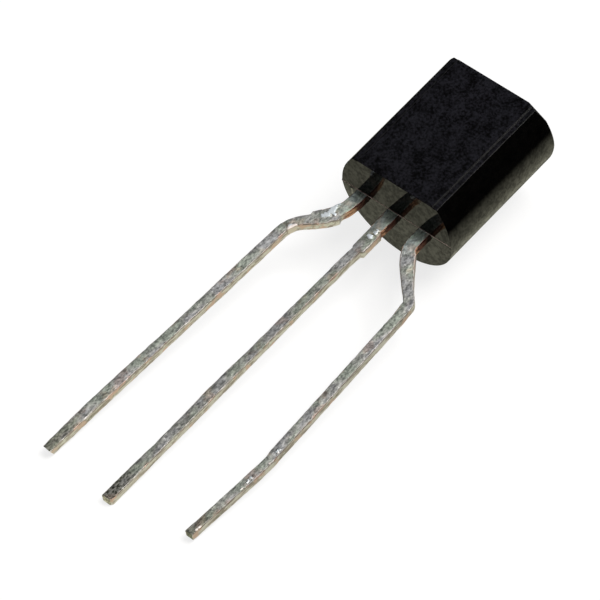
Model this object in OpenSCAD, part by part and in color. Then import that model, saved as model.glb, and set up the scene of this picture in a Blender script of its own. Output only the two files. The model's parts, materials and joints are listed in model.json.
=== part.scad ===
// Small-signal transistor in a moulded, D-shaped body with three formed leads.
// It lies as it comes to rest on a bench: on the lower edge of its round back and on the tip
// of the longest lead, with the flat face up. The legs point along -Y, and the origin is on
// the bench, at the middle of the space that the part fills.

/* [Body] */
// Height of the moulded body, along the leads
body_h = 5.2; // [4.4:0.05:6.5]
// Diameter of the round back
body_d = 4.48; // [3.8:0.02:5.6]
// Distance from the parting plane to the flat face
flat_dist = 1.47; // [1.1:0.01:1.9]
// How far the two ends slope back at the flat face, for release from the mould
front_draft = 0.083; // [0:0.001:0.2]
// How far the two ends slope back at the bottom of the round back
back_draft = 0.093; // [0:0.001:0.2]

/* [Leads] */
// Thickness of the sheet that the lead frame is stamped from
sheet_t = 0.35; // [0.25:0.01:0.5]
// Width of a leg
leg_w = 0.35; // [0.25:0.01:0.5]
// Width of a lead where it leaves the body
root_w = 0.46; // [0.36:0.01:0.6]
// Distance between neighbouring leads at the body
root_pitch = 1.27; // [1:0.01:1.6]
// Distance from the centre leg to the left leg, just past its second bend
left_spread = 2.45; // [1.8:0.01:3.2]
// Distance from the centre leg to the right leg, just past its second bend
right_spread = 2.67; // [1.8:0.01:3.2]
// Sideways place of the lead frame in the body
frame_shift = -0.12; // [-0.2:0.01:0.2]
// Length of the left lead below the body
left_len = 13.25; // [8:0.05:16]
// Length of the centre lead below the body
centre_len = 13.6; // [8:0.05:16]
// Length of the right lead below the body
right_len = 13; // [8:0.05:16]

/* [Forming] */
// Depth of the left lead's first bend below the body
left_first_bend = 0.98; // [0.7:0.01:1.2]
// Depth of the left lead's second bend
left_second_bend = 2.27; // [1.9:0.01:3]
// Depth of the right lead's first bend below the body
right_first_bend = 0.85; // [0.7:0.01:1.2]
// Depth of the right lead's second bend
right_second_bend = 2.4; // [1.9:0.01:3]
// How far the left leg leans out before its last stretch
left_lean = 0.32; // [0:0.005:0.6]
// How far the right leg leans out before its kink
right_lean = 0.3; // [0:0.005:0.6]
// How far the right leg's tip comes back in from the kink
right_return = 0.18; // [0:0.005:0.5]
// How far the centre leg's tip leans to the left
centre_lean = 0.12; // [0:0.005:0.4]
// Length of the left leg's straight last stretch
left_last = 1.85; // [1:0.05:3.5]
// Length of the right leg past its kink
right_last = 3.55; // [1:0.05:4.5]

/* [Tie bar stubs] */
// Width of a lead across the sheared stubs of the tie bar
stub_w = 0.5; // [0.4:0.01:0.65]
// Length of the stubs along the lead
stub_l = 0.82; // [0.5:0.01:1]
// Distance along the lead from the body to the stubs
stub_start = 0.97; // [0.9:0.01:1.3]
// Length of the wide root below the body
root_l = 0.84; // [0.3:0.01:0.88]

/* [Chip and its carriers] */
// Width of the die pad at the centre lead's inner end
pad_w = 1.6; // [1:0.05:2]
// Length of the die pad along the body
pad_l = 1.5; // [1:0.05:1.7]
// Depth of the die pad's near edge inside the body
pad_depth = 2.25; // [1.9:0.05:2.4]
// Width of a bond post at an outer lead's inner end
post_w = 0.72; // [0.5:0.02:0.9]
// Length of a bond post along the body
post_l = 1.1; // [0.6:0.05:1.3]
// Depth of a bond post's near edge inside the body
post_depth = 0.8; // [0.5:0.05:1]
// Side of the square silicon die
die_side = 0.7; // [0.35:0.01:0.9]
// Thickness of the die
die_t = 0.2; // [0.1:0.01:0.3]
// Thickness of the solder under the die
attach_t = 0.03; // [0.01:0.005:0.06]
// How far the solder shows past the die all round
attach_margin = 0.05; // [0.02:0.01:0.1]

/* [Bond wires] */
// Diameter of the gold wires
wire_d = 0.038; // [0.025:0.001:0.075]
// Height of a wire's loop above a straight run
loop_rise = 0.3; // [0.15:0.01:0.45]
// Diameter of the ball on the die
ball_d = 0.09; // [0.08:0.005:0.15]
// Height of the flattened ball
ball_h = 0.03; // [0.02:0.005:0.05]

/* [Hidden] */
$fn = 96;

// Colours of the pieces
epoxy_black = [0.07, 0.07, 0.08];
tin_grey = [0.66, 0.67, 0.65];
silicon_grey = [0.32, 0.34, 0.4];
solder_grey = [0.55, 0.56, 0.58];
gold_yellow = [0.93, 0.74, 0.3];

body_r = body_d / 2;
left_root_x = frame_shift - root_pitch;
centre_root_x = frame_shift;
right_root_x = frame_shift + root_pitch;

// Radii on the middle line of each bend: the left lead is formed smoothly, the right one
// starts with a wide sweep and turns back sharply
left_radii = [0.75, 1.2, 1.5];
centre_radii = [3];
right_radii = [0.95, 0.3, 0.5];
arc_steps = 6;

// The bevel that the cutting tool leaves on the upper side of each tip
tip_bevel_l = 0.17;
tip_bevel_t = 0.06;

// Middle lines of the leads in the lead frame's plane, from the inner end to the tip.
// The body's end is at y = 0
left_leg_x = frame_shift - left_spread;
right_leg_x = frame_shift + right_spread;
post_end = post_depth + post_l;
pad_end = pad_depth + pad_l;
left_corners = [
    [left_root_x, post_end],
    [left_root_x, -left_first_bend],
    [left_leg_x, -left_second_bend],
    [left_leg_x - left_lean, -(left_len - left_last)],
    [left_leg_x - left_lean, -left_len]
];
centre_corners = [
    [centre_root_x, pad_end],
    [centre_root_x, -(stub_start + stub_l)],
    [centre_root_x - centre_lean, -centre_len]
];
right_corners = [
    [right_root_x, post_end],
    [right_root_x, -right_first_bend],
    [right_leg_x, -right_second_bend],
    [right_leg_x + right_lean, -(right_len - right_last)],
    [right_leg_x + right_lean - right_return, -right_len]
];

// Unit vector from a to b
function toward(a, b) = (b - a) / norm(b - a);

// Points of the arc of radius r that rounds corner b between a and c
function rounded_corner(a, b, c, r) =
    let (
        u = toward(b, a),
        v = toward(b, c),
        half = acos(u * v) / 2,
        centre = b + toward([0, 0], u + v) * r / sin(half),
        first = b + u * r / tan(half) - centre,
        start = atan2(first.y, first.x),
        sweep = (180 - 2 * half) * (cross(u, v) > 0 ? -1 : 1)
    )
    [
        for (i = [0:arc_steps])
        centre + r * [cos(start + sweep * i / arc_steps), sin(start + sweep * i / arc_steps)]
    ];

// A line of corners with each inner corner rounded
function rounded_line(corners, radii) =
    let (last = len(corners) - 1)
    concat(
        [corners[0]],
        [
            for (i = [1:last - 1])
            for (p = rounded_corner(corners[i - 1], corners[i], corners[i + 1], radii[i - 1]))
            p
        ],
        [corners[last]]
    );

// How far along a line of points its point i lies
function run_to(line, i) = i == 0 ? 0 : run_to(line, i - 1) + norm(line[i] - line[i - 1]);

// Unit normal to a line of points at point i
function normal_at(line, i) =
    let (t = toward(line[max(i - 1, 0)], line[min(i + 1, len(line) - 1)]))
    [-t.y, t.x];

// Point a share of the way from a to b
function between(a, b, share) = a + (b - a) * share;

// Widths of a lead: each row is [how far along the lead the stretch starts, its width].
// The inner end is the carrier, a pad or a post, and the root reaches past the body's end
function lead_widths(carrier_l, carrier_w, carrier_depth) =
    let (body_end = carrier_l + carrier_depth)
    [
        [0, carrier_w],
        [carrier_l, root_w],
        [body_end + root_l, leg_w],
        [body_end + stub_start, stub_w],
        [body_end + stub_start + stub_l, leg_w]
    ];

// Half a lead's width where its middle line has run a given length
function half_width(widths, run) =
    let (started = [for (row = widths) if (row[0] <= run) row])
    started[len(started) - 1][1] / 2;

// Stations along a lead, each [point, normal, half width]: one at each point of the line,
// and two at each place between them where the width steps
function stations(line, widths) =
    let (last = len(line) - 1)
    [
        for (i = [0:last])
        let (run = run_to(line, i), next_run = run_to(line, min(i + 1, last)))
        each concat(
            [[line[i], normal_at(line, i), half_width(widths, run)]],
            [
                for (j = [1:len(widths) - 1])
                let (step = widths[j][0])
                if (run < step && step < next_run)
                let (
                    share = (step - run) / (next_run - run),
                    at = between(line[i], line[i + 1], share),
                    across = between(normal_at(line, i), normal_at(line, i + 1), share)
                )
                each [
                    [at, across, widths[j - 1][1] / 2],
                    [at, across, widths[j][1] / 2]
                ]
            ]
        )
    ];

// Outline of a lead: up one side of its middle line and back down the other
function lead_outline(corners, radii, widths) =
    let (
        rows = stations(rounded_line(corners, radii), widths),
        last = len(rows) - 1
    )
    concat(
        [for (i = [0:last]) rows[i][0] + rows[i][1] * rows[i][2]],
        [for (i = [last:-1:0]) rows[i][0] - rows[i][1] * rows[i][2]]
    );

post_widths = lead_widths(post_l, post_w, post_depth);
pad_widths = lead_widths(pad_l, pad_w, pad_depth);
left_outline = lead_outline(left_corners, left_radii, post_widths);
centre_outline = lead_outline(centre_corners, centre_radii, pad_widths);
right_outline = lead_outline(right_corners, right_radii, post_widths);

// The pose at rest: tilted until the round back's lower edge and the longest leg's tip are
// level
longest_len = max(left_len, centre_len, right_len);
rest_tilt = atan((body_r - sheet_t) / (longest_len + back_draft));
rest_height = body_r * cos(rest_tilt) - back_draft * sin(rest_tilt);
left_edge = min([for (p = left_outline) p.x]);
right_edge = max([for (p = right_outline) p.x]);
space_x = [min(left_edge, -body_r), max(right_edge, body_r)];
legs_end = longest_len * cos(rest_tilt) - tip_bevel_t * sin(rest_tilt);
case_end = (body_h - back_draft) * cos(rest_tilt) + body_r * sin(rest_tilt);

// Places of the chip and of its wires, in the lead frame's plane
die_at = [centre_root_x, (pad_depth + pad_end) / 2];
die_top = attach_t + die_t;
wire_offset = die_side / 4;
post_mid = (post_depth + post_end) / 2;
wire_sides = 8;
loop_steps = 14;
neck_h = 0.02;
foot_d = 0.065;
foot_h = 0.015;

// Lays the part, modelled with its parting plane on z = 0, in its pose at rest, with the
// middle of the space that it fills over the origin
module at_rest() {
    translate([-(space_x[0] + space_x[1]) / 2, (legs_end - case_end) / 2, rest_height])
        rotate([rest_tilt, 0, 0])
            children();
}

// The D-shaped section, stood up along the leads
module d_column() {
    translate([0, body_h, 0])
        rotate([90, 0, 0])
            linear_extrude(body_h)
                intersection() {
                    circle(body_r);
                    translate([-body_r, -body_r])
                        square([body_d, body_r + flat_dist]);
                }
}

// Both ends slope back from the parting line towards the flat and towards the back
module drafted_sides() {
    translate([-body_r, 0, 0])
        rotate([90, 0, 90])
            linear_extrude(body_d)
                polygon([
                    [0, 0],
                    [front_draft, flat_dist],
                    [body_h - front_draft, flat_dist],
                    [body_h, 0],
                    [body_h - back_draft, -body_r],
                    [back_draft, -body_r]
                ]);
}

// Everything that the epoxy flows round
module moulded_in() {
    left_lead_shape();
    centre_lead_shape();
    right_lead_shape();
    die_attach_shape();
    die_shape();
    bond_wire_shape(-1);
    bond_wire_shape(1);
}

module case() {
    color(epoxy_black)
        at_rest()
            difference() {
                intersection() {
                    d_column();
                    drafted_sides();
                }
                moulded_in();
            }
}

// A lead stamped from the sheet: its upper surface is on the parting plane, and the cutting
// tool has bevelled the upper side of its tip
module stamped_lead(outline, tip) {
    difference() {
        translate([0, 0, -sheet_t])
            linear_extrude(sheet_t)
                polygon(outline);
        translate([tip.x, tip.y, 0])
            rotate([90, 0, 90])
                linear_extrude(2 * leg_w, center = true)
                    polygon([
                        [-tip_bevel_l, -2 * tip_bevel_t],
                        [tip_bevel_l, 0],
                        [tip_bevel_l, tip_bevel_t],
                        [-tip_bevel_l, tip_bevel_t]
                    ]);
    }
}

module left_lead_shape() {
    stamped_lead(left_outline, left_corners[4]);
}

module centre_lead_shape() {
    stamped_lead(centre_outline, centre_corners[2]);
}

module right_lead_shape() {
    stamped_lead(right_outline, right_corners[4]);
}

module left_lead() {
    color(tin_grey) at_rest() left_lead_shape();
}

module centre_lead() {
    color(tin_grey) at_rest() centre_lead_shape();
}

module right_lead() {
    color(tin_grey) at_rest() right_lead_shape();
}

// A square plate centred under the die
module chip_plate(side, thickness, base) {
    translate([die_at.x - side / 2, die_at.y - side / 2, base])
        cube([side, side, thickness]);
}

module die_attach_shape() {
    chip_plate(die_side + 2 * attach_margin, attach_t, 0);
}

module die_shape() {
    chip_plate(die_side, die_t, attach_t);
}

module die_attach() {
    color(solder_grey) at_rest() die_attach_shape();
}

module die() {
    color(silicon_grey) at_rest() die_shape();
}

// A bond wire as rings round its middle line: flattened ball, neck, loop and foot.
// Each ring is [middle, radius]
function wire_rings(ball, foot) =
    let (
        loop_start = ball + [0, 0, ball_h + neck_h],
        loop_end = foot + [0, 0, foot_h]
    )
    concat(
        [[ball, ball_d / 2], [ball + [0, 0, ball_h], ball_d / 2]],
        [
            for (i = [0:loop_steps])
            let (t = i / loop_steps, across = (1 - cos(180 * t)) / 2)
            [
                [
                    loop_start.x + (loop_end.x - loop_start.x) * across,
                    loop_start.y + (loop_end.y - loop_start.y) * across,
                    loop_start.z + (loop_end.z - loop_start.z) * t + loop_rise * sin(180 * t)
                ],
                wire_d / 2
            ]
        ],
        [[foot, foot_d / 2]]
    );

// Direction of the wire at ring i: upright at the ball and at the foot
function wire_direction(rings, i) =
    let (last = len(rings) - 1)
    i <= 2 ? [0, 0, 1]
        : i >= last - 1 ? [0, 0, -1]
        : toward(rings[i - 1][0], rings[i + 1][0]);

// The wire lies in one upright plane, so one level vector serves every ring
module bond_wire_shape(side) {
    ball = [die_at.x + side * wire_offset, die_at.y - wire_offset, die_top];
    foot = [centre_root_x + side * root_pitch, post_mid, 0];
    rings = wire_rings(ball, foot);
    last = len(rings) - 1;
    level = toward([0, 0, 0], cross([0, 0, 1], [foot.x - ball.x, foot.y - ball.y, 0]));
    points = [
        for (i = [0:last])
        let (lift = cross(wire_direction(rings, i), level))
        for (j = [0:wire_sides - 1])
        let (a = 360 * (j + 0.5) / wire_sides)
        rings[i][0] + rings[i][1] * (cos(a) * level + sin(a) * lift)
    ];
    sides = [
        for (i = [0:last - 1])
        for (j = [0:wire_sides - 1])
        let (
            k = (j + 1) % wire_sides,
            p = i * wire_sides,
            q = p + wire_sides
        )
        each [[p + j, q + j, q + k], [p + j, q + k, p + k]]
    ];
    ball_end = [for (j = [0:wire_sides - 1]) j];
    foot_end = [for (j = [wire_sides - 1:-1:0]) last * wire_sides + j];
    polyhedron(points, concat([ball_end], sides, [foot_end]), convexity = 4);
}

module left_bond_wire() {
    color(gold_yellow) at_rest() bond_wire_shape(-1);
}

module right_bond_wire() {
    color(gold_yellow) at_rest() bond_wire_shape(1);
}

case();
left_lead();
centre_lead();
right_lead();
die();
die_attach();
left_bond_wire();
right_bond_wire();
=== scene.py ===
import json
import math
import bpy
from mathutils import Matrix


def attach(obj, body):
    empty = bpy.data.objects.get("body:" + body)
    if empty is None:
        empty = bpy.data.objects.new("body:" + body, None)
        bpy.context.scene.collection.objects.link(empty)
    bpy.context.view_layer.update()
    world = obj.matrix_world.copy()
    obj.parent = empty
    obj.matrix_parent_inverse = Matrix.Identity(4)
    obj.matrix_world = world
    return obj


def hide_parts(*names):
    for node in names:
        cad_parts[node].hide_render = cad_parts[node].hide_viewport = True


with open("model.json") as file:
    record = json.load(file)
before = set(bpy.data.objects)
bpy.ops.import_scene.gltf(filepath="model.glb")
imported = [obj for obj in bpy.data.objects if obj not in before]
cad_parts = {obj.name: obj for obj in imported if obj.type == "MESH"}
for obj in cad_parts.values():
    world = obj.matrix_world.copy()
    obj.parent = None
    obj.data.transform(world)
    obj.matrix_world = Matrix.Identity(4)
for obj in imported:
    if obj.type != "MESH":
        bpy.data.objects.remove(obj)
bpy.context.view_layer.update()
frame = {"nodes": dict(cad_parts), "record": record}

from types import SimpleNamespace

import bmesh
import bpy
from mathutils import Matrix, Vector, noise


# The lead frame: three leads stamped from one sheet of copper alloy, joined by a tie bar
# until they were sheared apart. They are dipped in tin after moulding, and the cut sides
# next to the body stay bare copper. All sizes are millimetres on the body's own axes.
MM = 1000
SHEET_T = 0.35
# A lead has a section at every step, square to the way it runs within reach on both sides.
# The trim keeps its tip just inside the frame's lead.
LEAD_STEP = 0.045
ARC_STEPS = 24
WAY_REACH = 0.04
TIP_TRIM = 0.014
TIP_BEVEL_L = 0.05
TIP_BEVEL_T = 0.02
# The section starts as a unit square: its rounded corners are a share of its width.
CORNER_ROUND = 0.11
CORNER_STEPS = 3
SIDE_CUTS = 6
# Dents only sink, so the section is made a little wider to leave room for them.
BROAD_DENT = 0.010
BROAD_SCALE = 2.3
FINE_DENT = 0.007
FINE_SCALE = 7
DENT_DEPTH = BROAD_DENT + FINE_DENT
DENT_ROOM = 1.8 * DENT_DEPTH
SMOOTH_ROOT = 0.03
# A splash of tin is drawn out across the lead, has a ragged edge and stands a little proud.
SPLASH_REACH = 0.2
SPLASH_RAGGED = 0.05
RAGGED_SCALE = 11
SPLASH_RISE = 0.035
SPLASH_TOP = 0.5
# Each lead has the corners and bend radii of its middle line. Its edges are rows of distance
# below the body, left edge and right edge. Its splashes are rows of distance below the body,
# place across from -1 to 1, place down the thickness from 0 to 1, and radius. Skew and slope
# slant the cut tip, and the seed gives each lead its own dents.
LEAD_LEFT = {
    "corners": [(-1.39, 1.9), (-1.39, -0.98), (-2.57, -2.27), (-2.89, -11.4), (-2.89, -13.25)],
    "radii": [0.75, 1.2, 1.5],
    "edges": [
        (-1.9, -0.36, 0.36), (-0.8, -0.36, 0.36), (-0.76, -0.23, 0.23), (0.3, -0.24, 0.21),
        (0.6, -0.265, 0.17), (0.95, -0.33, 0.12), (1.06, -0.32, 0.14), (1.11, -0.31, 0.25),
        (1.5, -0.275, 0.29), (1.9, -0.25, 0.27), (1.95, -0.145, 0.25), (2.5, -0.135, 0.205),
        (4, -0.145, 0.215), (8, -0.125, 0.215), (9.5, -0.145, 0.22), (12.2, -0.16, 0.21),
        (13.65, -0.165, 0.155),
    ],
    "splashes": [
        (0.84, -0.87, 0, 0.07), (1.0, -0.85, 0, 0.08), (1.1, -0.75, 0, 0.1), (1.2, -0.6, 0, 0.11),
        (1.3, -0.35, 0, 0.1), (1.4, -0.1, 0, 0.08), (1.49, -0.05, 0, 0.08), (1.58, -0.1, 0, 0.07),
        (1.2, 0.1, 0, 0.07), (2.7, 1, 0.35, 0.25), (2.55, 0.9, 0, 0.12),
    ],
    "skew": -0.015,
    "slope": 0.15,
    "seed": 3.1,
}
LEAD_CENTRE = {
    "corners": [(-0.12, 3.75), (-0.12, -1.79), (-0.24, -13.6)],
    "radii": [3.0],
    "edges": [
        (-3.75, -0.8, 0.8), (-2.25, -0.8, 0.8), (-2.2, -0.23, 0.23), (0.3, -0.23, 0.23),
        (0.86, -0.21, 0.2), (0.92, -0.2, 0.26), (1.78, -0.19, 0.25), (1.83, -0.15, 0.155),
        (2.3, -0.165, 0.145), (5, -0.165, 0.14), (7, -0.16, 0.165), (8.6, -0.185, 0.175),
        (10, -0.145, 0.195), (11.2, -0.125, 0.195), (12.5, -0.155, 0.215), (13.5, -0.15, 0.215),
        (13.61, -0.15, 0.12),
    ],
    "splashes": [(1.17, 0, 0, 0.1), (0.98, 0.2, 0, 0.09), (0.86, 0.45, 0, 0.07)],
    "skew": 0.0,
    "slope": 0.0,
    "seed": 17.4,
}
LEAD_RIGHT = {
    "corners": [(1.15, 1.9), (1.15, -0.85), (2.55, -2.4), (2.85, -9.45), (2.67, -13.0)],
    "radii": [0.95, 0.3, 0.25],
    "edges": [
        (-1.9, -0.36, 0.36), (-0.8, -0.36, 0.36), (-0.76, -0.23, 0.23), (0.3, -0.23, 0.23),
        (0.8, -0.22, 0.22), (1.0, -0.23, 0.27), (1.4, -0.265, 0.235), (1.8, -0.25, 0.185),
        (2.4, -0.22, 0.155), (3.1, -0.195, 0.165), (3.5, -0.155, 0.185), (8, -0.16, 0.175),
        (9.7, -0.165, 0.155), (10, -0.125, 0.165), (10.6, -0.125, 0.185), (11.6, -0.135, 0.165),
        (12.8, -0.145, 0.14), (13.52, -0.17, 0.11),
    ],
    # On this lead the splashes are small glints: bright painted highlights with a slight rise.
    "splashes": [
        (9.57, 0.2, 0, 0.05), (9.65, 0.35, 0, 0.06), (10.1, 0.7, 0, 0.05), (10.86, 0.1, 0, 0.045),
        (10.95, 0.2, 0, 0.05), (11.04, 0.35, 0, 0.045), (11.3, 0.6, 0, 0.06), (11.38, 0.5, 0, 0.05),
        (13.15, 0.75, 0, 0.08), (13.28, 0.8, 0, 0.08),
    ],
    "skew": 0.01,
    "slope": 0.02,
    "seed": 41.7,
}

# The record states the middle of the flat face and the way it points, which places the
# body's own axes: origin at the foot of the body, on its parting plane.
BODY_H = 5.2
FLAT_DIST = 1.47
flat_mount = frame["record"]["mounts"][0]
rest_tilt = math.atan2(-flat_mount["axis"][1], flat_mount["axis"][2])
rest_pose = (
    Matrix.Translation(Vector(flat_mount["pos_m"]))
    @ Matrix.Rotation(rest_tilt, 4, "X")
    @ Matrix.Scale(1 / MM, 4)
    @ Matrix.Translation((0, -BODY_H / 2, -FLAT_DIST))
)


def bent_path(corners, radii):
    """The corners with a round bend of each radius in place of each inner corner."""
    path = [Vector(corners[0])]
    for i, radius in enumerate(radii):
        a, b, c = (Vector(corners[i + k]) for k in range(3))
        back, ahead = (a - b).normalized(), (c - b).normalized()
        half = back.angle(ahead) / 2
        centre = b + (back + ahead).normalized() * radius / math.sin(half)
        start = b + back * radius / math.tan(half) - centre
        turn = (math.pi - 2 * half) * (-1 if back.cross(ahead) > 0 else 1)
        for k in range(ARC_STEPS + 1):
            path.append(centre + Matrix.Rotation(turn * k / ARC_STEPS, 2) @ start)
    path.append(Vector(corners[-1]))
    return path


def centre_line(corners, radii):
    """A lead's middle line at even steps: length so far, point, and the way it runs there."""
    path = bent_path(corners, radii)
    runs = [0.0]
    for a, b in zip(path, path[1:]):
        runs.append(runs[-1] + (b - a).length)

    def at(run):
        run = min(max(run, 0.0), runs[-1])
        i = max(k for k in range(len(runs) - 1) if runs[k] <= run)
        return path[i].lerp(path[i + 1], (run - runs[i]) / (runs[i + 1] - runs[i]))

    length = runs[-1] - TIP_TRIM
    steps = round(length / LEAD_STEP)
    line = []
    for k in range(steps + 1):
        run = length * k / steps
        line.append((run, at(run), (at(run + WAY_REACH) - at(run - WAY_REACH)).normalized()))
    return line


def edges_at(rows, below):
    """The lead's left and right edge at a distance below the body."""
    for a, b in zip(rows, rows[1:]):
        if below <= b[0]:
            part = max(0.0, (below - a[0]) / (b[0] - a[0]))
            return a[1] + (b[1] - a[1]) * part, a[2] + (b[2] - a[2]) * part
    return rows[-1][1:]


def unit_section(bm, mark):
    """A unit square with rounded corners, standing across the lead and marked from side to side."""
    bmesh.ops.create_grid(bm, x_segments=1, y_segments=1, size=0.5)
    bmesh.ops.bevel(
        bm, geom=bm.verts[:], offset=CORNER_ROUND, segments=CORNER_STEPS, profile=0.5,
        affect="VERTICES", material=-1,
    )
    sides = [e for e in bm.edges if e.calc_length() > CORNER_ROUND]
    bmesh.ops.subdivide_edges(bm, edges=sides, cuts=SIDE_CUTS)
    bmesh.ops.rotate(bm, verts=bm.verts, matrix=Matrix.Rotation(math.pi / 2, 3, "X"))
    for v in bm.verts:
        v[mark.across] = 2 * v.co.x
        v[mark.over] = 0.5 - v.co.z
    return next(iter(bm.faces))


def section_pose(lead, below, to_tip, point, way):
    """Where the unit section goes at a distance below the body, and its size there."""
    left, right = edges_at(lead["edges"], below)
    height = SHEET_T - TIP_BEVEL_T * max(0.0, 1 - to_tip / TIP_BEVEL_L)
    return (
        Matrix.Translation((point.x, point.y, -SHEET_T + height / 2))
        @ Matrix.Rotation(math.atan2(way.x, -way.y), 4, "Z")
        @ Matrix.Translation(((left + right) / 2, 0, 0))
        @ Matrix.Diagonal((right - left + DENT_ROOM, 1, height, 1))
    )


def roughen(bm, mark, lead):
    """Sinks shallow dents into the tin and raises the splashes on it, clear of the body."""
    seed = Vector((lead["seed"], 0, 0))
    for v in bm.verts:
        if v[mark.run] < SMOOTH_ROOT:
            continue
        dent = BROAD_DENT * noise.noise(v.co * BROAD_SCALE + seed)
        dent += FINE_DENT * noise.noise(v.co * FINE_SCALE + seed)
        dent -= DENT_DEPTH
        ragged = SPLASH_RAGGED * noise.noise(v.co * RAGGED_SCALE + seed)
        for run, across, over, radius in lead["splashes"]:
            along = v[mark.run] - run
            aside = SPLASH_REACH * (v[mark.across] - across)
            down = SHEET_T * (v[mark.over] - over)
            drop = 1 - (Vector((along, aside, down)).length + ragged) / radius
            v[mark.splash] = max(v[mark.splash], drop)
        dent += SPLASH_RISE * max(0.0, min(SPLASH_TOP, v[mark.splash]))
        v.co += v.normal * dent


def add_object(name, bm):
    """The finished mesh as an object in the scene."""
    mesh = bpy.data.meshes.new(name)
    bm.to_mesh(mesh)
    bm.free()
    made = bpy.data.objects.new(name, mesh)
    bpy.context.scene.collection.objects.link(made)
    return made


LEAD_MARKS = ("run", "across", "over", "splash")


def make_lead(name, lead):
    """Extrudes the section along the middle line, slants the tip and roughens the tin."""
    line = centre_line(lead["corners"], lead["radii"])
    body_end = lead["corners"][0][1]
    tip = line[-1][0]
    bm = bmesh.new()
    mark = SimpleNamespace(**{key: bm.verts.layers.float.new(key) for key in LEAD_MARKS})
    face = unit_section(bm, mark)
    before = Matrix.Identity(4)
    for i, (run, point, way) in enumerate(line):
        pose = section_pose(lead, run - body_end, tip - run, point, way)
        if i:
            grown = bmesh.ops.extrude_face_region(bm, geom=[face, *face.edges, *face.verts])
            face = [g for g in grown["geom"] if isinstance(g, bmesh.types.BMFace)][0]
        bmesh.ops.transform(bm, matrix=pose @ before.inverted(), verts=face.verts)
        before = pose
        for v in face.verts:
            v[mark.run] = run - body_end
    for v in face.verts:
        v.co.y += lead["skew"] * (v[mark.across] - 1) + lead["slope"] * (v[mark.over] - 1)
    bmesh.ops.recalc_face_normals(bm, faces=bm.faces)
    bm.normal_update()
    roughen(bm, mark, lead)
    bmesh.ops.transform(bm, matrix=rest_pose, verts=bm.verts)
    return add_object(name, bm)


class Wire:
    """One output of a shader node. Sums written on it become Math nodes."""

    def __init__(self, tree, socket=None):
        self.tree = tree
        self.socket = socket

    def node(self, kind, settings=None, inputs=None, output=0):
        """A new node: its settings first, then values or wires for its inputs."""
        made = self.tree.nodes.new(kind)
        for key, value in (settings or {}).items():
            setattr(made, key, value)
        for key, value in (inputs or {}).items():
            if isinstance(value, Wire):
                self.tree.links.new(value.socket, made.inputs[key])
            elif isinstance(value, tuple) and made.inputs[key].type == "RGBA":
                made.inputs[key].default_value = (*value, 1)
            else:
                made.inputs[key].default_value = value
        return Wire(self.tree, made.outputs[output])

    def into(self, shader, name):
        """Joins this to a socket of the material's own shader."""
        self.tree.links.new(self.socket, shader.inputs[name])

    def maths(self, operation, *terms):
        return self.node("ShaderNodeMath", {"operation": operation}, dict(enumerate(terms)))

    def __add__(self, other):
        return self.maths("ADD", self, other)

    def __sub__(self, other):
        return self.maths("SUBTRACT", self, other)

    def __rsub__(self, other):
        return self.maths("SUBTRACT", other, self)

    def __mul__(self, other):
        return self.maths("MULTIPLY", self, other)

    __radd__ = __add__
    __rmul__ = __mul__

    def size(self):
        return self.maths("ABSOLUTE", self)

    def step(self, low, high):
        """0 at low, 1 at high, smooth between. High may be the lower number."""
        return self.node(
            "ShaderNodeMapRange", {"interpolation_type": "SMOOTHSTEP"},
            {"Value": self, "From Min": low, "From Max": high},
        )

    def tint(self, low, high):
        """The colour low where this is 0 and high where it is 1."""
        return self.node("ShaderNodeMix", {"data_type": "RGBA"}, {0: self, 6: low, 7: high}, 2)

    def times(self, other):
        """This colour multiplied by another."""
        mixed = {"data_type": "RGBA", "blend_type": "MULTIPLY"}
        return self.node("ShaderNodeMix", mixed, {0: 1.0, 6: self, 7: other}, 2)

    def grain(self, scale, detail, rough, stretch=(1, 1, 1), shift=(0, 0, 0)):
        """Noise from 0 to 1 on these coordinates. A stretch below 1 draws it out that way."""
        place = self.node(
            "ShaderNodeMapping", {}, {"Vector": self, "Scale": stretch, "Location": shift}
        )
        return self.node(
            "ShaderNodeTexNoise", {},
            {"Vector": place, "Scale": scale, "Detail": detail, "Roughness": rough},
        )

    def bump(self, strength, depth):
        """A surface that rises with this height, by a depth in metres."""
        return self.node(
            "ShaderNodeBump", {}, {"Strength": strength, "Distance": depth, "Height": self}
        )


def new_finish(name):
    """An empty material, its shader node, and a wire to start its nodes from."""
    finish = bpy.data.materials.new(name)
    finish.use_nodes = True
    tree = finish.node_tree
    return finish, tree.nodes["Principled BSDF"], Wire(tree)


def body_axes(wire):
    """Object coordinates turned to the body's own axes, in millimetres."""
    origin = rest_pose @ Vector((0, 0, 0))
    back = Matrix.Rotation(-rest_tilt, 4, "X") @ (-MM * origin)
    coords = wire.node("ShaderNodeTexCoord", output="Object")
    return wire.node(
        "ShaderNodeMapping", {},
        {"Vector": coords, "Scale": (MM, MM, MM), "Rotation": (-rest_tilt, 0, 0), "Location": back},
    )


# Distances below the body over which one state of the tin gives way to the next; two of them bound the
# painted light on the tops and the painted shade on the bare roots.
PAINTED_SHADE_ROOT = (0.4, 0.2)
BROWN_ROOT = (0.98, 0.8)
BARE_ROOT = (1.05, 1.3)
PAINTED_LIT_ROOT = (1.3, 0.3)
WORN_TIPS = (12.9, 14.2)
CENTRE_TIP = (13.55, 13.585)
UNTINTED = (1, 1, 1)
TIN_DARK, TIN_LIGHT = (0.18, 0.18, 0.175), (0.64, 0.635, 0.615)
PAINTED_LIT_DARK, PAINTED_LIT_LIGHT = (0.34, 0.4, 0.37), (0.8, 0.88, 0.82)
LEFT_SHADE = (0.7, 0.7, 0.7)
WORN_SHADE = (0.7, 0.68, 0.62)
SPECK_SHADE = (0.3, 0.32, 0.27)
GREEN_CAST = (0.88, 0.97, 0.88)
BLUE_CAST = (0.93, 0.95, 1.0)
PINK_CAST = (1.03, 0.91, 0.86)
OUTER_SHADE, CENTRE_SHADE = (1.07, 1.07, 1.06), (0.86, 0.86, 0.84)
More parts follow.
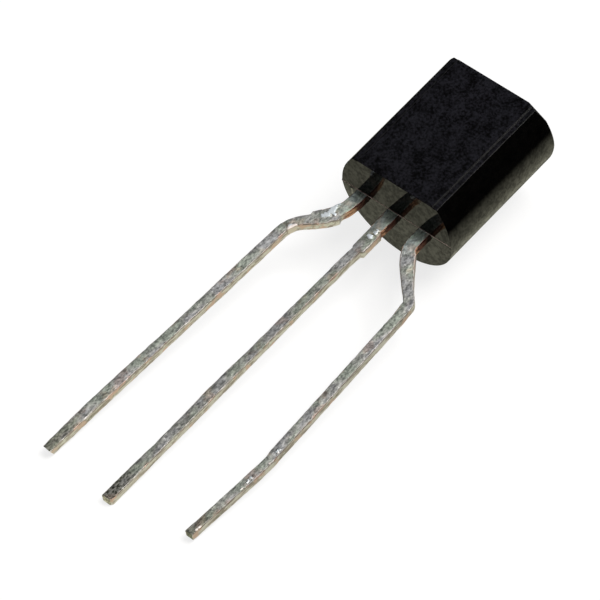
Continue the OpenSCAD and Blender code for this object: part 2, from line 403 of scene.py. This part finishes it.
SIDE_DARK, SIDE_LIGHT = (0.53, 0.46, 0.43), (1.0, 0.97, 0.96)
SIDE_HIGHLIGHT_PAINT = (1.0, 1.0, 0.98)
SIDE_PINK = (0.92, 0.71, 0.64)
RIGHT_SHADE = (0.87, 0.87, 0.89)
STAIN = (0.17, 0.13, 0.1)
END_DARK, END_LIGHT = (0.22, 0.2, 0.15), (1.0, 0.97, 0.87)
COPPER_DARK, COPPER_LIGHT = (0.32, 0.13, 0.1), (0.88, 0.54, 0.37)
BROWN_DARK, BROWN_LIGHT = (0.1, 0.035, 0.03), (0.26, 0.11, 0.09)
PAINTED_ROOT_SHADE = (0.02, 0.006, 0.006)
# Near-white splash colours: partly the tin drops' own colour, partly painted highlight.
SPLASH_GLINT_FACE, SPLASH_GLINT_SIDE = (0.7, 0.76, 0.8), (1.0, 0.92, 0.87)


def tin_wires(wire):
    """What the tin's colours follow: the lead's marks, its place, and grains of all sizes."""
    place = body_axes(wire)
    on = SimpleNamespace(**{
        key: wire.node("ShaderNodeAttribute", {"attribute_name": key}, output="Fac")
        for key in LEAD_MARKS
    })
    on.grit = place.grain(15, 3, 0.7, (1, 0.6, 1))
    on.flake = place.grain(5.4, 3, 0.6, (1, 0.5, 1), (5, 0, 0))
    on.cloud = place.grain(1.5, 2, 0.5, (1, 0.6, 1), (0, 7, 0))
    on.hue = place.grain(2.7, 2, 0.5, (1, 0.7, 1), (0, 0, 31))
    on.streak = place.grain(7, 3, 0.6, (1, 0.2, 1), (0, 0, 9))
    on.cream = place.grain(10, 2, 0.6, (1, 0.35, 1), (4, 0, 2))
    on.mottle = (0.6 * on.grit + 0.4 * on.flake).step(0.35, 0.65)
    on.aside = wire.node("ShaderNodeSeparateXYZ", {}, {"Vector": place}, "X")
    on.centre = on.aside.size().step(0.6, 0.4)
    return on


def tin_face(on):
    """The wide faces: mottled grey, dark on the left, lighter and greener by the body in painted light,
    specked at the tips.
    """
    face = on.mottle.tint(TIN_DARK, TIN_LIGHT)
    face = face.times((on.across + on.flake).step(-0.5, 0.8).tint(LEFT_SHADE, UNTINTED))
    # Painted light: the tops by the body are made lighter, standing in for lamp light that the body
    # keeps off them.
    face = on.run.step(*PAINTED_LIT_ROOT).tint(face, on.mottle.tint(PAINTED_LIT_DARK, PAINTED_LIT_LIGHT))
    worn = (on.run + 2 * on.flake).step(*WORN_TIPS)
    specks = worn * (0.35 + 0.65 * on.centre) * on.grit.step(0.52, 0.42)
    for where, cast in (
        (worn, WORN_SHADE),
        (specks, SPECK_SHADE),
        (on.cloud.step(0.42, 0.62), GREEN_CAST),
        (on.cloud.step(0.5, 0.38), BLUE_CAST),
        (on.hue.step(0.56, 0.66), PINK_CAST),
    ):
        face = face.times(where.tint(UNTINTED, cast))
    return face.times(on.centre.tint(OUTER_SHADE, CENTRE_SHADE))


def tin_side(on):
    """The sheared sides: beige streaks, painted pale highlights and pink patches, dullest on the right
    lead.
    """
    side = on.streak.step(0.36, 0.62).tint(SIDE_DARK, SIDE_LIGHT)
    # Painted highlight: pale patches on the sides stand in for glints of light.
    side = on.cream.step(0.55, 0.66).tint(side, SIDE_HIGHLIGHT_PAINT)
    side = on.hue.step(0.55, 0.65).tint(side, SIDE_PINK)
    return side.times(on.aside.step(-1.5, 2.5).tint(UNTINTED, RIGHT_SHADE))


def bare_copper(on):
    """The sides that the tin didn't reach: orange, then brown, then black by the body, where the black
    is painted shade.
    """
    copper = (0.5 * on.grit + 0.5 * on.flake).step(0.4, 0.54).tint(COPPER_DARK, COPPER_LIGHT)
    brown = on.grit.step(0.4, 0.6).tint(BROWN_DARK, BROWN_LIGHT)
    copper = (on.run + 0.6 * on.flake).step(*BROWN_ROOT).tint(copper, brown)
    # Painted shade: the copper next to the body turns near black where the body and the leads shade the
    # roots.
    return (on.run + 0.3 * on.flake).step(*PAINTED_SHADE_ROOT).tint(copper, PAINTED_ROOT_SHADE)


def tinned_copper():
    """Dipped tin over copper alloy, with stained edges, bright splashes partly painted as glints, and
    bare roots.
    """
    finish, shader, wire = new_finish("tinned_copper")
    on = tin_wires(wire)
    outward = on.across.size()
    cut = (outward + 0.7 * (on.streak - 0.5)).step(0.82, 0.92)
    colour = cut.tint(tin_face(on), tin_side(on))
    rim = outward.step(0.72, 0.86) * (1 - (on.over - 0.06).size().step(0.1, 0.2))
    stain = rim * (0.5 * on.flake + 0.5 * on.streak).step(0.46, 0.56)
    colour = (0.6 * stain).tint(colour, STAIN)
    centre_end = on.centre * on.run.step(*CENTRE_TIP)
    colour = centre_end.tint(colour, on.mottle.tint(END_DARK, END_LIGHT))
    bare = outward.step(0.84, 0.94) * (1 - (on.run + 0.5 * on.flake).step(*BARE_ROOT))
    colour = bare.tint(colour, bare_copper(on))
    # The splashes are raised tin drops; their near-white colour partly paints highlights, and on the
    # right lead they stand in for glints.
    splash = (on.splash + 0.4 * (on.grit - 0.5)).step(0.12, 0.3)
    colour = splash.tint(colour, on.across.step(0.35, 0.6).tint(SPLASH_GLINT_FACE, SPLASH_GLINT_SIDE))
    colour.into(shader, "Base Color")
    dull_splash = 0.55 * splash * on.across.step(0.95, 0.85)
    (1 - dull_splash).into(shader, "Metallic")
    (0.38 + 0.14 * on.grit + 0.25 * rim).into(shader, "Roughness")
    height = 0.6 * on.grit + 0.8 * on.flake + 0.5 * on.streak
    height.bump(strength=1.0, depth=0.000006).into(shader, "Normal")
    return finish


tin_finish = tinned_copper()
for name, node, lead in (
    ("left_lead_formed", "left_lead", LEAD_LEFT),
    ("centre_lead_formed", "centre_lead", LEAD_CENTRE),
    ("right_lead_formed", "right_lead", LEAD_RIGHT),
):
    piece = make_lead(name, lead)
    piece.data.materials.append(tin_finish)
    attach(piece, "root")
    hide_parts(node)


# The die and what holds it: a square of silicon soldered to the centre lead's pad, with a
# gold wire from each of its two bond pads to an outer lead. The body hides all of it.
SILICON, TRACKS = (0.12, 0.14, 0.19), (0.35, 0.37, 0.42)
SOLDER_DARK, SOLDER_LIGHT = (0.32, 0.32, 0.33), (0.55, 0.55, 0.56)
GOLD_DARK, GOLD_LIGHT = (0.8, 0.52, 0.16), (0.98, 0.76, 0.34)


def die_finish():
    """Silicon crossed by a fine pattern of metal tracks."""
    finish, shader, wire = new_finish("silicon")
    place = body_axes(wire)
    cells = wire.node("ShaderNodeTexBrick", {}, {"Vector": place, "Scale": 9.0, "Mortar Size": 0.03}, 1)
    cells.tint(SILICON, TRACKS).into(shader, "Base Color")
    (0.15 + 0.2 * place.grain(30, 3, 0.6)).into(shader, "Roughness")
    shader.inputs["Metallic"].default_value = 0.4
    return finish


def metal_finish(name, dark, light, scale, rough):
    """A cast or drawn metal whose colour and shine vary a little."""
    finish, shader, wire = new_finish(name)
    grain = body_axes(wire).grain(scale, 4, 0.6)
    grain.step(0.3, 0.7).tint(dark, light).into(shader, "Base Color")
    (rough + 0.2 * grain).into(shader, "Roughness")
    shader.inputs["Metallic"].default_value = 1.0
    grain.bump(strength=0.3, depth=0.000005).into(shader, "Normal")
    return finish


solder_finish = metal_finish("solder", SOLDER_DARK, SOLDER_LIGHT, scale=25, rough=0.3)
gold_finish = metal_finish("gold", GOLD_DARK, GOLD_LIGHT, scale=60, rough=0.15)
for node, finish in (
    ("die", die_finish()),
    ("die_attach", solder_finish),
    ("left_bond_wire", gold_finish),
    ("right_bond_wire", gold_finish),
):
    mesh = frame["nodes"][node].data
    mesh.materials.clear()
    mesh.materials.append(finish)


# The body: black glass-filled epoxy, moulded round the lead frame in a two-part steel mould.
# The halves meet on the leads' upper surface, and both ends slope back from that line. The
# flat is spark-eroded and dull; the ends and the round back come out of polished steel.
BODY_D = 4.48
BACK_STEPS = 128
FRONT_DROP = 0.083
BACK_DROP = 0.093
TOP_PARTING = -0.2
PANEL_HALF = 1.53
PANEL_RISE = 0.03
PANEL_SLOPE = 0.6 * PANEL_RISE
EDGE_R = 0.032
EDGE_STEPS = 4
SHARP_TURN = 0.83
FLASH_W = 0.025
FLASH_H = 0.018
CHIP_AT = (1.716, 4.97, 1.44)
CHIP_WAY = (0.355, 0.79, 0.5)
PIT_X = -1.854
PIT_Z = -0.095
PIT_R = 0.065
PIT_WALL = 0.012
PIT_SLOPE = 0.018
PIT_DEPTH = 0.045
# SKIN keeps the surface just inside the frame's body, and corners nearer than WELD join.
SKIN = 0.0015
WELD = 0.0008
# A corner this near to a plane or a line is on it, and a face this square to an end is its.
ON_PLANE = 1e-4
ON_LINE = 1e-5
SQUARE_ON = 0.95
POLISHED, ERODED, EDGE, FLASH = range(4)


def with_edges(faces):
    """Faces with their edges and corners, as the cutting operator wants them."""
    edges = {e for f in faces for e in f.edges}
    corners = {v for f in faces for v in f.verts}
    return [*faces, *edges, *corners]


def end_faces(bm, way):
    """The faces of one end: way is -1 for the end with the leads and 1 for the other."""
    return [f for f in bm.faces if f.normal.y * way > SQUARE_ON]


def d_column(bm):
    """A D-shaped column with a low raised panel on its flat."""
    bmesh.ops.create_circle(bm, cap_ends=True, radius=BODY_D / 2 - SKIN, segments=BACK_STEPS)
    bmesh.ops.rotate(bm, verts=bm.verts, matrix=Matrix.Rotation(math.pi / 2, 3, "X"))
    low, high = FLAT_DIST - PANEL_RISE, FLAT_DIST - SKIN
    bmesh.ops.bisect_plane(
        bm, geom=with_edges(bm.faces), plane_co=(0, 0, low), plane_no=(0, 0, 1), clear_outer=True,
    )
    chord = max(bm.edges, key=lambda e: e.calc_length())
    split = bmesh.ops.subdivide_edges(bm, edges=[chord], cuts=4)
    inner = [g for g in split["geom_inner"] if isinstance(g, bmesh.types.BMVert)]
    inner.sort(key=lambda v: v.co.x)
    foot = PANEL_HALF + PANEL_SLOPE
    for v, x, z in zip(inner, (-foot, -PANEL_HALF, PANEL_HALF, foot), (low, high, high, low)):
        v.co = (x, v.co.y, z)
    column = bmesh.ops.extrude_face_region(bm, geom=bm.faces[:])
    top = [g for g in column["geom"] if isinstance(g, bmesh.types.BMVert)]
    bmesh.ops.translate(bm, verts=top, vec=(0, BODY_H, 0))
    bmesh.ops.recalc_face_normals(bm, faces=bm.faces)


def draft_ends(bm):
    """Splits both ends at the parting plane and slopes each half back for the mould's draft."""
    for end, parting, inward in ((0.0, 0.0, 1), (BODY_H, TOP_PARTING, -1)):
        cap = [f for f in bm.faces if abs(f.calc_center_median().y - end) < ON_PLANE]
        bmesh.ops.bisect_plane(
            bm, geom=with_edges(cap), plane_co=(0, 0, parting), plane_no=(0, 0, 1),
        )
        front, back = FLAT_DIST - parting, BODY_D / 2 + parting
        for v in bm.verts:
            if abs(v.co.y - end) < ON_PLANE:
                away = v.co.z - parting
                drop = FRONT_DROP * away / front if away > 0 else -BACK_DROP * away / back
                v.co.y += drop * inward


def round_edges(bm):
    sharp = [e for e in bm.edges if len(e.link_faces) == 2 and e.calc_face_angle() > SHARP_TURN]
    bmesh.ops.bevel(
        bm, geom=sharp, offset=EDGE_R, segments=EDGE_STEPS, profile=0.5, affect="EDGES",
        clamp_overlap=True, material=-1,
    )


def raise_flash(bm):
    """A thin ridge across each end, where epoxy crept between the mould's halves."""
    for parting, way in ((0.0, -1), (TOP_PARTING, 1)):
        for side in (-FLASH_W, FLASH_W):
            bmesh.ops.bisect_plane(
                bm, geom=with_edges(end_faces(bm, way)), plane_co=(0, 0, parting + side),
                plane_no=(0, 0, 1),
            )
            bm.normal_update()
        for v in bm.verts:
            if abs(v.co.z - parting) < ON_LINE and v.normal.y * way > SQUARE_ON:
                v.co.y += FLASH_H * way


def pit_face(bm):
    """The face of the leads' end that is nearest to the pit's middle."""
    pit = Vector((PIT_X, 0, PIT_Z))
    level = Vector((1, 0, 1))
    return min(end_faces(bm, -1), key=lambda f: ((f.calc_center_median() - pit) * level).length)


def sink_pit(bm):
    """A small round void with a raised rim, left by a bubble beside the left lead."""
    across, upward = Vector((1, 0, 0)), Vector((0, 0, 1))
    for middle, way in ((PIT_X, across), (PIT_Z, upward)):
        for side in (-PIT_R, PIT_R):
            below = [f for f in end_faces(bm, -1) if f.calc_center_median().z < -FLASH_W]
            bmesh.ops.bisect_plane(
                bm, geom=with_edges(below), plane_co=way * (middle + side), plane_no=way,
            )
            bm.normal_update()
    bmesh.ops.bevel(
        bm, geom=list(pit_face(bm).verts), offset=0.5 * PIT_R, segments=2, profile=0.5,
        affect="VERTICES", material=-1,
    )
    bm.normal_update()
    face = pit_face(bm)
    bmesh.ops.inset_region(bm, faces=[face], thickness=PIT_WALL, depth=PIT_WALL)
    bmesh.ops.inset_region(bm, faces=[face], thickness=PIT_SLOPE, depth=-PIT_DEPTH)


def chip_corner(bm):
    """Breaks the corner at the flat's top right, and leaves the break's rim sharp."""
    chip = bmesh.ops.bisect_plane(
        bm, geom=with_edges(bm.faces), plane_co=CHIP_AT, plane_no=CHIP_WAY, clear_outer=True,
    )
    rim = [g for g in chip["geom_cut"] if isinstance(g, bmesh.types.BMEdge)]
    bmesh.ops.contextual_create(bm, geom=rim)
    for e in rim:
        e.smooth = False


def choose_finishes(bm):
    """Gives the flat, its panel's edge, the chip and the flash their own finishes."""
    for f in bm.faces:
        place, way = f.calc_center_median(), f.normal
        if place.z > FLAT_DIST - 2 * PANEL_RISE:
            f.material_index = EDGE if abs(way.x) > 0.1 and abs(way.y) < 0.1 else ERODED
        elif way.dot(Vector(CHIP_WAY)) > 0.99:
            f.material_index = ERODED
        elif way.y < -0.5 and abs(place.z) < FLASH_W:
            f.material_index = FLASH


def make_case():
    """The moulded body in the order of its making: column, draft, edges, flash and damage."""
    bm = bmesh.new()
    d_column(bm)
    draft_ends(bm)
    round_edges(bm)
    raise_flash(bm)
    sink_pit(bm)
    chip_corner(bm)
    bmesh.ops.remove_doubles(bm, verts=bm.verts, dist=WELD)
    bmesh.ops.dissolve_degenerate(bm, edges=bm.edges, dist=WELD)
    bm.normal_update()
    choose_finishes(bm)
    bmesh.ops.transform(bm, matrix=rest_pose, verts=bm.verts)
    made = add_object("case_moulded", bm)
    made.data.shade_smooth()
    even = made.modifiers.new("even_faces", "WEIGHTED_NORMAL")
    even.weight = 100
    even.keep_sharp = True
    return made


POLISHED_DARK, POLISHED_LIGHT = (0.0003, 0.0003, 0.0003), (0.0012, 0.001, 0.0008)
# The flat's slight blue cast is a painted reflection of a cool surround.
ERODED_DARK, ERODED_LIGHT = (0.0002, 0.0002, 0.0004), (0.0132, 0.0132, 0.0175)
EDGE_DARK, EDGE_LIGHT = (0.002, 0.002, 0.002), (0.015, 0.015, 0.015)
# The flash's light brown is partly the thin epoxy's own tone and partly a painted highlight along the
# parting line.
FLASH_SHEEN_DARK, FLASH_SHEEN_LIGHT = (0.14, 0.1, 0.09), (0.34, 0.26, 0.24)


def polished_epoxy():
    """The ends and the round back: near black under a gloss that is a little cloudy."""
    finish, shader, wire = new_finish("polished_epoxy")
    place = body_axes(wire)
    fine = place.grain(11, 3, 0.65)
    cloud = place.grain(3.5, 3, 0.5, (1, 1, 1), (3, 0, 0))
    mottle = (0.6 * fine + 0.4 * cloud).step(0.38, 0.62)
    mottle.tint(POLISHED_DARK, POLISHED_LIGHT).into(shader, "Base Color")
    (0.2 + 0.1 * cloud).into(shader, "Roughness")
    shader.inputs["Specular IOR Level"].default_value = 0.0
    (0.46 + 0.54 * mottle).into(shader, "Coat Weight")
    shader.inputs["Coat Roughness"].default_value = 0.045
    fine.bump(strength=1.0, depth=0.0000018).into(shader, "Normal")
    return finish


def eroded_epoxy():
    """The flat: dull black with a slight blue cast, a painted reflection of a cool surround, and the
    fine pits of a spark-eroded mould.
    """
    finish, shader, wire = new_finish("eroded_epoxy")
    place = body_axes(wire)
    pits = place.grain(11, 3, 0.65)
    cloud = place.grain(3.2, 3, 0.6, (1, 0.6, 1), (3, 0, 0))
    mottle = (0.6 * pits + 0.4 * cloud).step(0.38, 0.64)
    mottle.tint(ERODED_DARK, ERODED_LIGHT).into(shader, "Base Color")
    (0.42 + 0.2 * cloud).into(shader, "Roughness")
    shader.inputs["Specular IOR Level"].default_value = 0.03
    pits.bump(strength=1.0, depth=0.000012).into(shader, "Normal")
    return finish


def worn_epoxy(name, dark, light, shine):
    """Epoxy rubbed duller along an edge, or the thin flash left where the halves met, whose light brown
    is partly a painted highlight along its crest.
    """
    finish, shader, wire = new_finish(name)
    rub = body_axes(wire).grain(9, 3, 0.6)
    rub.step(0.38, 0.6).tint(dark, light).into(shader, "Base Color")
    (0.3 + 0.2 * rub).into(shader, "Roughness")
    shader.inputs["Specular IOR Level"].default_value = shine
    rub.bump(strength=0.6, depth=0.000005).into(shader, "Normal")
    return finish


# The finishes go on in the order of POLISHED, ERODED, EDGE and FLASH.
case = make_case()
case.data.materials.append(polished_epoxy())
case.data.materials.append(eroded_epoxy())
case.data.materials.append(worn_epoxy("edge_epoxy", EDGE_DARK, EDGE_LIGHT, shine=0.09))
case.data.materials.append(worn_epoxy("flash_epoxy", FLASH_SHEEN_DARK, FLASH_SHEEN_LIGHT, shine=0.1))
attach(case, "root")
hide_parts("case")


# The studio: a plain pale floor that the part lies on, a soft lamp above and behind it, and
# two dim panels, one on the left and one in front, low down. The camera stands in front, to
# the right and above. Its sizes and places are metres, on the frame's axes.
FLOOR_HALF = 1.5
# In the gloss the floor is a painted pool of light between these soft edges, not lit floor.
POOL_LEFT = (-0.0056, -0.0042)
POOL_RIGHT = (0.0089, 0.0038)
# A painted shadow of the body darkens the pool where the body stands on the floor.
PAINTED_SHADOW_SIDE = (0.0021, 0.0016)
PAINTED_SHADOW_FOOT = (0.004, 0.005)
POOL_DARK, POOL_LIGHT = (0.012, 0.012, 0.012), (0.585, 0.575, 0.435)
FLOOR_PLAIN = (0.8, 0.8, 0.8)
FLOOR_SHADED = (0.26, 0.26, 0.26)
FLOOR_GLOW = (0.79, 0.79, 0.79)
LAMP_FAR = 1.0
LAMPS = (
    ("key_lamp", Vector((0.316, 0.275, 0.905)), 0.6, 9.0, (1, 0.98, 0.95)),
    ("left_panel", Vector((-0.5, 0.3, 0.8)), 0.9, 0.55, (1, 0.99, 1)),
    ("front_panel", Vector((0.35, -0.8, 0.42)), 0.9, 0.45, (1, 0.99, 0.98)),
)
SKY, BACKGROUND = (0.02, 0.02, 0.02), (1, 1, 1)
CAMERA_AT = (0.066755, -0.077919, 0.117194)
CAMERA_FORWARD = (-0.43357, 0.50239, -0.74808)
CAMERA_RIGHT = (0.75731, 0.65305, -0.00036)
CAMERA_LENS = 296.8
CAMERA_SENSOR = 36
CAMERA_REACH = (0.01, 10)


def mirrored_floor(wire):
    """What the part's gloss shows of the floor: a painted pool of pale light, with a painted shadow
    under the body.
    """
    coords = wire.node("ShaderNodeTexCoord", output="Object")
    across = wire.node("ShaderNodeSeparateXYZ", {}, {"Vector": coords}, "X")
    along = wire.node("ShaderNodeSeparateXYZ", {}, {"Vector": coords}, "Y")
    painted_pool = across.step(*POOL_LEFT) * across.step(*POOL_RIGHT)
    under = across.size().step(*PAINTED_SHADOW_SIDE) * along.step(*PAINTED_SHADOW_FOOT)
    return (0.5 * under).tint(painted_pool.tint(POOL_DARK, POOL_LIGHT), POOL_DARK)


def floor_finish():
    """White to the camera with a light shadow, plain for its own light, a painted pool of light with a
    painted shadow in the gloss.
    """
    finish = bpy.data.materials.new("floor")
    finish.use_nodes = True
    tree = finish.node_tree
    tree.nodes.clear()
    wire = Wire(tree)
    plain = wire.node("ShaderNodeBsdfDiffuse", {}, {"Color": FLOOR_PLAIN})
    mirrored = wire.node("ShaderNodeEmission", {}, {"Color": mirrored_floor(wire)})
    shaded = wire.node("ShaderNodeBsdfDiffuse", {}, {"Color": FLOOR_SHADED})
    glow = wire.node("ShaderNodeEmission", {}, {"Color": FLOOR_GLOW})
    shown = wire.node("ShaderNodeAddShader", {}, {0: shaded, 1: glow})
    in_gloss = wire.node("ShaderNodeLightPath", output="Is Glossy Ray")
    to_camera = wire.node("ShaderNodeLightPath", output="Is Camera Ray")
    unseen = wire.node("ShaderNodeMixShader", {}, {0: in_gloss, 1: plain, 2: mirrored})
    both = wire.node("ShaderNodeMixShader", {}, {0: to_camera, 1: unseen, 2: shown})
    both.into(tree.nodes.new("ShaderNodeOutputMaterial"), "Surface")
    return finish


def make_floor():
    bm = bmesh.new()
    bmesh.ops.create_grid(bm, x_segments=1, y_segments=1, size=FLOOR_HALF)
    floor = add_object("floor", bm)
    floor.data.materials.append(floor_finish())
    return floor


def make_lamp(name, way, side, radiance, colour):
    """A square lamp that faces the part from a way, with the same brightness at any size."""
    lamp = bpy.data.lights.new(name, "AREA")
    lamp.shape = "SQUARE"
    lamp.size = side
    lamp.energy = radiance * math.pi * side * side
    lamp.color = colour
    stand = bpy.data.objects.new(name, lamp)
    stand.location = way.normalized() * LAMP_FAR
    stand.rotation_mode = "QUATERNION"
    stand.rotation_quaternion = way.to_track_quat("Z", "Y")
    bpy.context.scene.collection.objects.link(stand)


def make_sky():
    """White to the camera and nearly dark to the part."""
    world = bpy.data.worlds.new("studio")
    bpy.context.scene.world = world
    world.use_nodes = True
    sky = Wire(world.node_tree)
    to_camera = sky.node("ShaderNodeLightPath", output="Is Camera Ray")
    to_camera.tint(SKY, BACKGROUND).into(world.node_tree.nodes["Background"], "Color")


def make_camera():
    """A long lens, so that the part shows with hardly any perspective."""
    view = bpy.data.cameras.new("camera")
    view.lens = CAMERA_LENS
    view.sensor_width = CAMERA_SENSOR
    view.clip_start, view.clip_end = CAMERA_REACH
    camera = bpy.data.objects.new("camera", view)
    bpy.context.scene.collection.objects.link(camera)
    forward = Vector(CAMERA_FORWARD).normalized()
    up = Vector(CAMERA_RIGHT).cross(forward).normalized()
    right = forward.cross(up)
    turn = Matrix((right, up, -forward)).transposed().to_4x4()
    camera.matrix_world = Matrix.Translation(CAMERA_AT) @ turn
    bpy.context.scene.camera = camera


make_floor()
for lamp in LAMPS:
    make_lamp(*lamp)
make_sky()
make_camera()
bpy.context.scene.view_settings.view_transform = "Standard"
